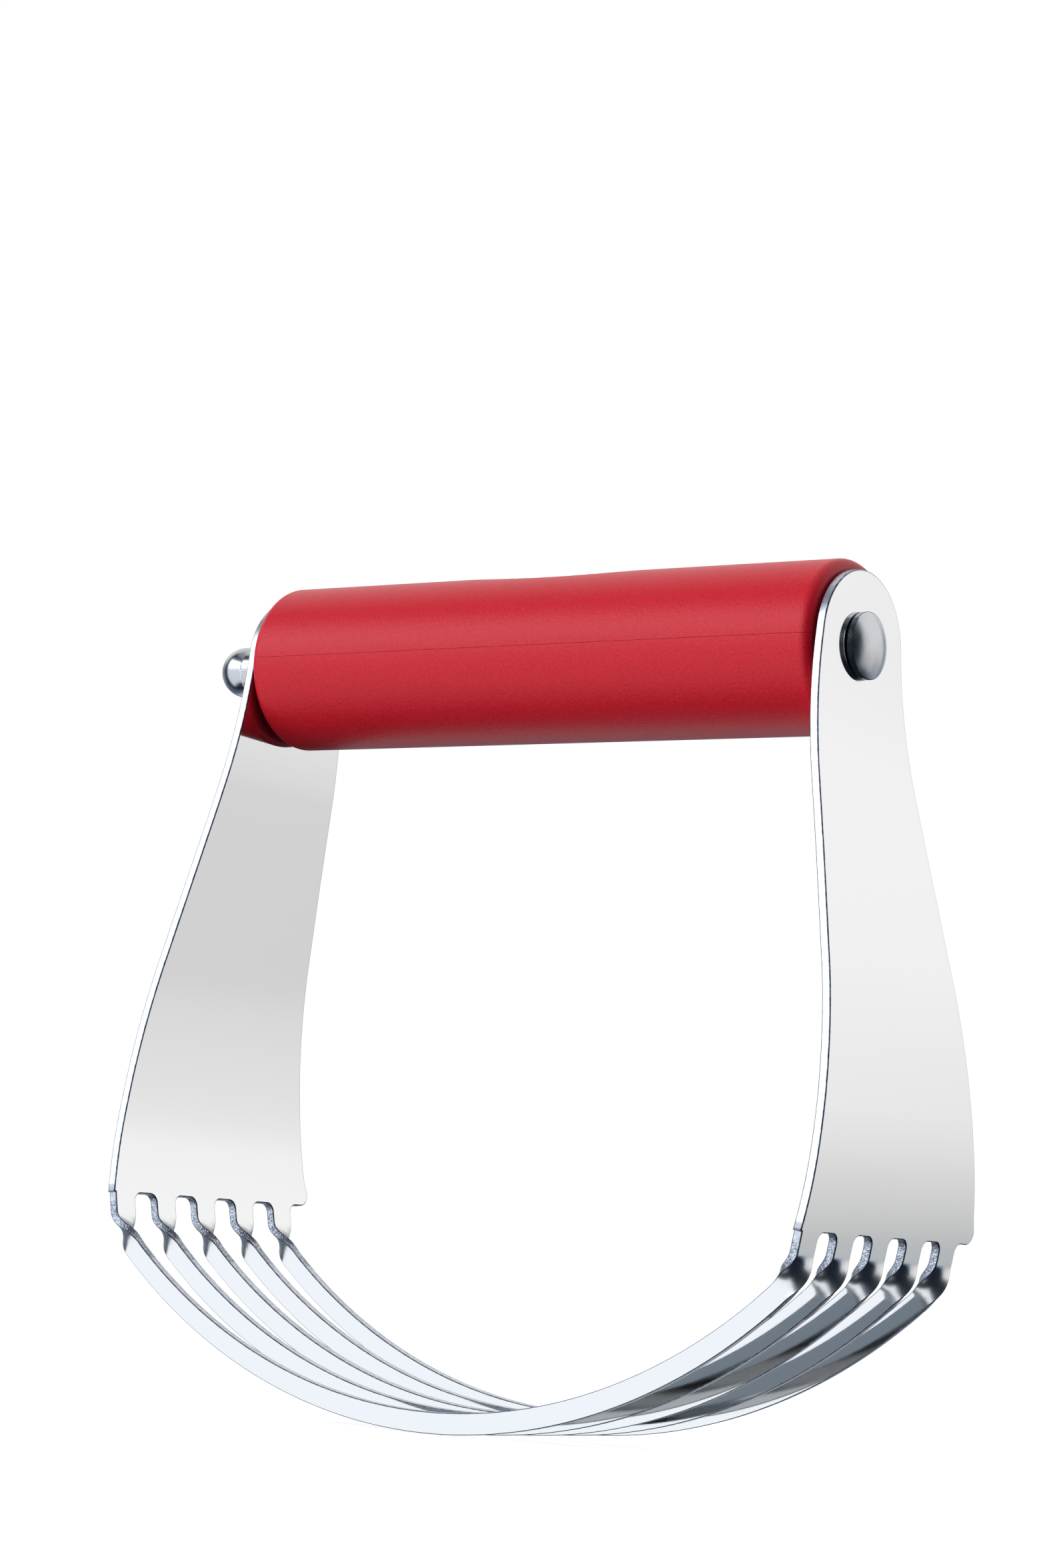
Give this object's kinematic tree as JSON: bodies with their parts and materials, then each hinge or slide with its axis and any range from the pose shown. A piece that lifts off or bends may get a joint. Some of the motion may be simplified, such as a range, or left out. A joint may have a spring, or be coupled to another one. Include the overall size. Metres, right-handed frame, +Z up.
{
  "type": "pastry blender",
  "caption": "Hand tool for cutting fat into flour: curved steel blades below a bowed steel frame, with a round plastic handle that turns on a through bolt.",
  "frame": {"origin": "on the surface it stands on, midway along the overall length with the nut included, and midway between the side plates' front and back edges", "axes": "+X along the handle towards the bolt head, -Y to the front, +Z up from the blades to the handle"},
  "size_m": [0.141, 0.0524, 0.1412],
  "materials": {
    "polished_steel": "mirror polished stainless steel",
    "red_plastic": "fine matt grain",
    "plated_steel": "bright nickel plate",
    "plain_steel": "as drawn"
  },
  "bodies": {
    "frame": {"left_side_plate": "polished_steel", "right_side_plate": "polished_steel", "blade_1": "polished_steel", "blade_2": "polished_steel", "blade_3": "polished_steel", "blade_4": "polished_steel", "blade_5": "polished_steel", "spacer_tube": "plain_steel", "through_bolt": "plated_steel", "flat_washer": "plated_steel", "acorn_nut": "plated_steel"},
    "handle": {"handle_upper_shell": "red_plastic", "handle_lower_shell": "red_plastic"}
  },
  "joints": [
    {"name": "handle_spin", "type": "hinge", "parent": "frame", "child": "handle", "pos_m": [0.00155, 0, 0.12724], "axis": [1, 0, 0], "continuous": true}
  ]
}
